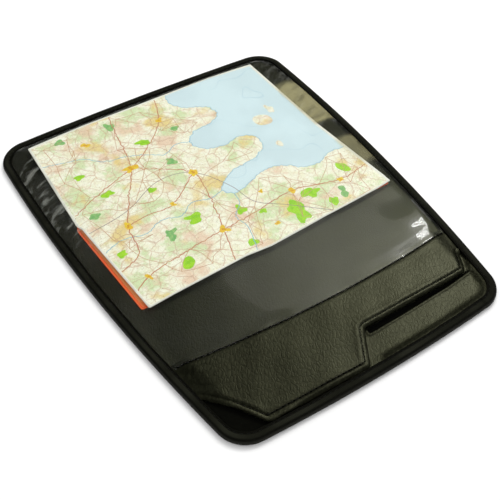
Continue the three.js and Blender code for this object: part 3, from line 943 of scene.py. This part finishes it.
# Folded map
def map_place(points):
    p = np.asarray(points, float)
    return np.c_[MAP_SHIFT + p[:, 0] * MAP_WIDTH, MAP_NEAR + p[:, 1] * MAP_LENGTH]


def leaf_face(x, y):
    """The leaf's printed face: flat, dipping at the crease, lower where the film comes down."""
    crease = MAP_NEAR + CREASE_ALONG * MAP_LENGTH + CREASE_SLANT * x
    dip = -0.30 * hump(y, crease, 3.0) - 0.22 * hump(y, crease, 0.9)
    waves = swell(x, y, [(0.07, 70, 70, 0.5), (0.05, 41, 15, 2.1)])
    return np.minimum(LEAF_TOP - 0.12 + dip + waves, film_face(x, y) - 0.22)


# The print. Places are millimetres from the leaf's near left corner, across and along.
COAST = [
    (128, 200), (122, 184), (131, 171), (146, 163), (150, 150), (139, 142), (124, 140), (112, 131),
    (117, 118), (132, 112), (149, 115), (160, 107), (158, 94), (144, 86), (126, 84), (113, 78),
    (104, 69), (110, 61), (124, 64), (140, 70), (158, 68), (170, 58), (184, 54), (197, 60), (225, 57),
]
SEA_CORNERS = [(230, 230), (128, 230)]
ISLANDS = [(176, 122, 7.5), (189, 131, 4.0), (171, 90, 3.2)]
TOWNS = [
    (58, 128, 4.6), (96, 98, 3.6), (28, 74, 3.2), (84, 34, 3.4), (148, 40, 2.8), (40, 172, 3.0),
    (104, 168, 2.6), (18, 24, 2.2), (186, 30, 2.4), (66, 76, 2.2), (128, 52, 1.8), (120, 18, 2.0),
]
WOODS = [
    (140, 20, 8.5), (72, 55, 5.5), (158, 31, 6.0), (47, 20, 5.0), (105, 44, 4.2), (196, 40, 5.0),
    (30, 112, 4.0), (80, 150, 4.4), (20, 140, 3.4), (168, 14, 4.0), (95, 12, 3.6), (60, 98, 3.0),
    (12, 52, 3.4), (118, 34, 2.6),
]
DULL_WOODS = [
    (88, 118, 4.0), (50, 50, 4.6), (12, 96, 3.6), (66, 182, 4.4), (24, 186, 3.8), (110, 152, 3.2),
    (180, 18, 4.2),
]
RIVERS = [
    [(104, 69), (92, 66), (78, 70), (66, 62), (50, 66), (36, 60), (18, 64), (0, 58)],
    [(112, 131), (100, 134), (88, 128), (74, 136), (62, 142), (44, 146), (30, 158), (0, 166)],
    [(110, 61), (108, 50), (98, 40), (100, 26), (92, 0)],
]
MAIN_ROADS = [
    [(0, 36), (22, 46), (28, 74), (42, 100), (58, 128), (64, 156), (72, 200)],
    [(58, 128), (78, 114), (96, 98), (94, 74), (84, 34), (74, 0)],
    [(28, 74), (46, 76), (66, 76), (96, 98)],
    [(0, 104), (26, 116), (58, 128), (84, 146), (104, 168), (116, 200)],
    [(84, 34), (112, 36), (148, 40), (186, 30), (214, 34)],
    [(0, 12), (18, 24), (50, 30), (84, 34)],
]
RAIL = [(0, 82), (34, 88), (68, 104), (96, 98), (112, 70), (118, 46), (136, 30), (160, 8), (170, 0)]
VILLAGES = 62
VILLAGE_GAP = 11
VILLAGE_SPAN = [(4, 4), (206, 192)]

# Inks in the order in which they lie over each other: two tones and the size of their patches
INKS = {
    "shore": ((150, 196, 222), (176, 212, 230), 4),
    "wood": ((174, 228, 46), (150, 214, 42), 3.5),
    "dull_wood": ((160, 204, 130), (120, 186, 112), 3.0),
    "river": ((120, 182, 214), (150, 200, 222), 6),
    "lane": ((204, 150, 120), (206, 170, 130), 7),
    "road": ((196, 116, 96), (206, 150, 110), 6),
    "rail": ((140, 120, 128), (156, 140, 140), 5),
    "town": ((242, 212, 56), (238, 190, 60), 2.5),
    "core": ((228, 178, 40), (220, 158, 50), 2.0),
}
LAND_SLOT = 1
KINDS = ["paper", "land", "sea", "island", *INKS]
KIND_SLOTS = np.array([0, LAND_SLOT, 2, LAND_SLOT, *range(3, 3 + len(INKS))])


def blobs(spots, corner, points, rough, share=1.0):
    """A wobbly round patch at each spot, at a share of the size that the spot gives."""
    a = np.arange(points) * 2 * math.pi / points
    made = []
    for x, y, size in spots:
        r = np.ones(points)
        for k in range(2, 6):
            r += rough / k * rng.normal() * np.cos(k * a + rng.uniform(0, 6.3))
        stretch = rng.uniform(0.75, 1.3)
        r *= size * share
        made.append(corner + (x, y) + np.c_[r * np.cos(a) * stretch, r * np.sin(a) / stretch])
    return made


def ribbon(line, width):
    """A band of that width along a line, in four-cornered pieces."""
    side = unit_left(np.gradient(line, axis=0)) * width / 2
    parts = zip(line, line[1:], side, side[1:])
    return [np.array([a - s, b - t, b + t, a + s]) for a, b, s, t in parts]


def jagged(points, step, size, rounds):
    """A curve through points with smaller and smaller bends thrown in."""
    line = curve_through(points, step)
    for _ in range(rounds):
        d = line[1:] - line[:-1]
        middle = (line[1:] + line[:-1]) / 2 + left_of(d) * rng.normal(0, size, (len(d), 1))
        out = np.empty((len(line) + len(middle), 2))
        out[0::2], out[1::2] = line, middle
        line = out
    return line


def minor_roads(sea):
    """Lanes between scattered villages, as the nearest neighbours join them."""
    spots = []
    while len(spots) < VILLAGES:
        p = rng.uniform(*VILLAGE_SPAN)
        on_land = not inside_polygon(p[:1], p[1:], sea)[0]
        if on_land and all(length_of(p - q) > VILLAGE_GAP for q in spots):
            spots.append(p)
    spots = np.array(spots)
    lanes = set()
    for i, p in enumerate(spots):
        nearest = np.argsort(length_of(spots - p))[1:4]
        lanes |= {(min(i, int(j)), max(i, int(j))) for j in nearest}
    lines = []
    for i, j in sorted(lanes):
        a, b = spots[i], spots[j]
        bend = (a + b) / 2 + rng.normal(0, 0.09, 2) * length_of(b - a)
        line = curve_through([a, bend, b], 3.0)
        if not inside_polygon(*line.T, sea).any():
            lines.append(line)
    return lines


def print_shapes(printed):
    """The printed patches and bands with their kinds, lowest first."""
    corner = map_place([(-0.5, 0.0)])[0]
    coast = jagged(COAST, 5.0, 0.13, 2) + corner
    sea = np.concatenate([coast, SEA_CORNERS + corner])
    shapes = [("land", printed), ("sea", sea)]

    def add(kind, made):
        shapes.extend((kind, shape) for shape in made)

    add("island", blobs(ISLANDS, corner, 22, 0.28))
    add("shore", ribbon(coast, 0.7))
    add("dull_wood", blobs(DULL_WOODS, corner, 18, 0.5))
    add("wood", blobs(WOODS, corner, 22, 0.5))
    for line in RIVERS:
        add("river", ribbon(jagged(line, 4.0, 0.10, 1) + corner, 0.55))
    for line in minor_roads(sea - corner):
        add("lane", ribbon(line + corner, 0.42))
    add("rail", ribbon(curve_through(RAIL, 4.0) + corner, 0.5))
    for line in MAIN_ROADS:
        add("road", ribbon(jagged(line, 4.0, 0.12, 1) + corner, 0.75))
    add("town", blobs(TOWNS, corner, 16, 0.6))
    add("core", blobs(TOWNS, corner, 10, 0.5, 0.42))
    return shapes


def map_leaf():
    """One sheet whose printed face is divided along the shores, roads, woods and towns."""
    margin = rounded(map_place(LEAF_OUTLINE), 1.0, 3)
    edge = walk(margin, 2.5, closed=True)
    middle = margin.mean(0)
    shapes = print_shapes(middle + (margin - middle) * PRINT_SHARE)
    looks = [paper_look(), land_look(), sea_look()]
    looks += [ink_look("print_" + kind, *tones) for kind, tones in INKS.items()]

    grid, _ = plan_mesh(edge, 2.6)
    points = [*edge, *grid[len(edge) :]]
    faces = [list(range(len(edge)))]
    ranks = [0]
    for kind, shape in shapes:
        faces.append(list(range(len(points), len(points) + len(shape))))
        points.extend(shape)
        ranks.append(KINDS.index(kind))
    plan, tris, owners = triangulated(points, faces, 1, 1e-3, True)
    keep = np.array([0 in o for o in owners])
    on_print = np.array([1 in o for o in owners])
    rank = np.array([max((ranks[i] for i in o), default=0) for o in owners])
    slots = np.where(on_print, KIND_SLOTS[rank], 0)[keep]
    plan, tris = compact(plan, tris[keep])
    top = leaf_face(*plan.T)
    made = slab("printed_leaf", plan, tris, top, top - LEAF)
    dress(made, "print", *looks, replaces=["map_leaf"])
    paint_top(made, slots)


def map_folds():
    """The lower folds, each a little off the one below."""
    layers = 4
    gap_between = 0.06
    low, high = (c.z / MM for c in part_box("map_folds"))
    pitch = (high - low) / layers
    verts, faces, walls = [], [], []
    for k in range(layers):
        shape = map_place(FOLDS_OUTLINE) + rng.normal(0, 0.25, 2) * (k < layers - 1)
        plan, tris = plan_mesh(rounded(shape, 0.8, 3), 5.0, rows=(0.15, 0.5, 1.2))
        gap = line_distance(*plan.T, shape, closed=True)
        middle = low + (k + 0.5) * pitch
        half = 0.5 * (pitch - gap_between) * round_edge(gap, 0.35, 0.02)
        top = np.minimum(middle + half, leaf_face(*plan.T) - LEAF - 0.07)
        bottom = np.minimum(middle - half, top - 0.05)
        parts = sheet_parts(plan, tris, top, bottom, len(verts))
        verts += parts[0]
        faces += parts[1]
        walls += parts[2]
    made = mesh_object("fold_stack", verts, faces + walls)
    dress(made, "paper", paper_look(), replaces=["map_folds"])


def map_cover():
    shape = rounded(map_place(COVER_OUTLINE), 1.6)
    plan, tris = plan_mesh(shape, 6.0, rows=(0.2, 0.6, 1.2, 2.0))
    gap = line_distance(*plan.T, shape, closed=True)
    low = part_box("map_cover")[0].z / MM
    bend = swell(*plan.T, [(0.04, 60, 80, 0.3)])
    made = slab("cover_card", plan, tris, low + CARD + bend, low + bend + 0.02)
    number_layer(made, "edge_mm", gap)
    dress(made, "cover", cover_look(), replaces=["map_cover"])


# Stitches
class Track:
    """A line to sew along, with the walked distance of its points and the height of the sheet there."""

    def __init__(self, line, height):
        self.line = walk(line, 0.5)
        self.height = height
        self.walked = np.r_[0, np.cumsum(length_of(self.line[1:] - self.line[:-1]))]
        self.end = self.walked[-1]
        self.count = int(self.end // STITCH_PITCH)
        self.margin = (self.end - self.count * STITCH_PITCH) / 2

    def place(self, at):
        return np.array([np.interp(at, self.walked, self.line[:, i]) for i in (0, 1)])

    def at(self, distance):
        """Place, unit heading and height at a walked distance."""
        place = self.place(distance)
        d = self.place(distance + 0.3) - place
        return place, d / (length_of(d) + 1e-9), float(self.height(place[:1], place[1:])[0])


def threads(name, track, length, radius):
    """Short threads along a line, each arched a little out of the sheet."""
    stations, sides = 7, 6
    sink = 0.35
    a = 2 * math.pi * np.arange(sides) / sides
    tube = ring_faces(stations, sides, closed=False)
    last = (stations - 1) * sides
    tube += [list(range(sides))[::-1], list(range(last, last + sides))]
    verts, faces, along = [], [], []
    for k in range(track.count):
        start = track.margin + (k + 0.5) * STITCH_PITCH - length / 2
        start += rng.normal(0, 0.06)
        turn = rng.normal(0, 0.05)
        faces += [[len(verts) + c for c in face] for face in tube]
        for i in range(stations):
            s = i / (stations - 1)
            place, heading, z = track.at(start + s * length)
            side = left_of(heading)
            arch = math.sin(math.pi * s) ** 0.5
            r = radius * (0.55 + 0.45 * arch)
            ring = place + side * turn * (s - 0.5) * length + side * r * np.cos(a)[:, None]
            z += radius * 0.55 - sink * (1 - arch)
            verts += np.c_[ring, z + r * 0.8 * np.sin(a)].tolist()
            along += [start + s * length] * sides
    made = mesh_object(name, verts, faces)
    number_layer(made, "along_mm", along)
    dress(made, "tape", thread)


def needle_holes(name, track, size):
    """An oval of painted shade wherever the needle went in, shut below so that it is closed."""
    points = 10
    a = 2 * math.pi * np.arange(points) / points
    cone = []
    for j in range(points):
        after = (j + 1) % points
        cone += [[j, after, points + 1], [after, j, points]]
    verts, faces = [], []
    for k in range(track.count + 1):
        at = track.margin + k * STITCH_PITCH + rng.normal(0, 0.05)
        place, heading, z = track.at(np.clip(at, 0.2, track.end - 0.2))
        z += 0.05
        u = size * rng.uniform(0.9, 1.1) * np.cos(a)[:, None]
        v = size * 0.55 * np.sin(a)[:, None]
        faces += [[len(verts) + c for c in face] for face in cone]
        verts += np.c_[place + heading * u + left_of(heading) * v, np.full(points, z)].tolist()
        verts += [[*place, z - 0.25], [*place, z + 0.03]]
    made = mesh_object(name, verts, faces)
    dress(made, "tape", hole_painted_shade)


def inner_line(line, distance):
    """The line moved to its left, cleaned where it would cross itself."""
    line = walk(line, 0.8)
    moved = line + unit_left(np.gradient(line, axis=0)) * distance
    return moved[line_distance(*moved.T, line) > distance * 0.985]


back_panel()
edge_binding()
closing_flap()
clear_window()
map_folds()
map_leaf()
map_cover()

open_edge = free_edge[inset_of(*free_edge.T) > TAPE_WIDTH + 1.0]
hem_track = Track(inner_line(open_edge, HEM_STITCH), flap_top)
threads("hem_stitches", hem_track, length=2.4, radius=0.30)
needle_holes("hem_stitches_holes", hem_track, size=0.95)
seam_reach = half_width(seam_y(0.0)) - TAPE_WIDTH - 1.5
seam_line = seam_row(-seam_reach, seam_reach, 200)
seam_track = Track(seam_line, lambda x, y: flap_top(x, y) + FILM + 0.05)
threads("seam_stitches", seam_track, length=2.2, radius=0.30)
needle_holes("seam_stitches_holes", seam_track, size=1.15)
tape_ring = outline(TAPE_STITCH_INSET)
tape_track = Track(np.r_[tape_ring, tape_ring[:1]], lambda x, y: x * 0 + TAPE_TOP - TAPE_STITCH_DEPTH)
threads("tape_stitches", tape_track, length=2.9, radius=0.26)

# Floor, lights and camera. The lights' places and sizes are metres.
CAMERA_PLACE = (-215.9, -341.4, 411.5)
CAMERA_UP = 48.085
CAMERA_TURN = -33.077
LENS = 56.08
SENSOR = 36
FLOOR_REACH = 6000
WARM = (1.0, 0.99, 0.86)
WORLD_STRENGTH = 0.82


def floor():
    r = FLOOR_REACH
    corners = [(-r, -r, 0), (r, -r, 0), (r, r, 0), (-r, r, 0)]
    made = mesh_object("floor", corners, [(0, 1, 2, 3)], flat_last=1)
    pale = Look("pale_floor").principled(
        Base_Color=(0.93, 0.93, 0.93, 1), Roughness=0.9, Specular_IOR_Level=0.1
    )
    made.data.materials.append(pale)


def softbox(name, place, size, power, aim=(0, 0, 0), mirrored=True, color=(1, 1, 1)):
    lamp = bpy.data.lights.new(name, "AREA")
    lamp.shape = "RECTANGLE"
    lamp.size, lamp.size_y = size
    lamp.energy = power
    lamp.color = color
    made = new_object(name, lamp)
    made.location = place
    made.rotation_euler = (Vector(place) - Vector(aim)).to_track_quat("Z", "Y").to_euler()
    made.visible_glossy = mirrored


floor()
softbox("key", (0.9, 0.8, 1.8), (0.9, 0.9), 18, mirrored=False)
softbox("glint", (0.84, 0.25, 1.0), (0.12, 0.11), 1.3)
softbox("sweep", (0.80, 0.45, 1.0), (0.84, 0.50), 1.75, aim=(0.80, 0.45, 0), color=WARM)

world = bpy.data.worlds.new("studio")
world.use_nodes = True
background = world.node_tree.nodes["Background"]
background.inputs["Color"].default_value = (1, 1, 1, 1)
background.inputs["Strength"].default_value = WORLD_STRENGTH
bpy.context.scene.world = world
world.cycles_visibility.glossy = False

camera_data = bpy.data.cameras.new("camera")
camera_data.lens = LENS
camera_data.sensor_width = SENSOR
camera = new_object("camera", camera_data)
camera.location = Vector(CAMERA_PLACE) * MM
camera.rotation_euler = (math.radians(90 - CAMERA_UP), 0, math.radians(CAMERA_TURN))
bpy.context.scene.camera = camera
bpy.context.scene.view_settings.view_transform = "Standard"

bpy.context.view_layer.update()
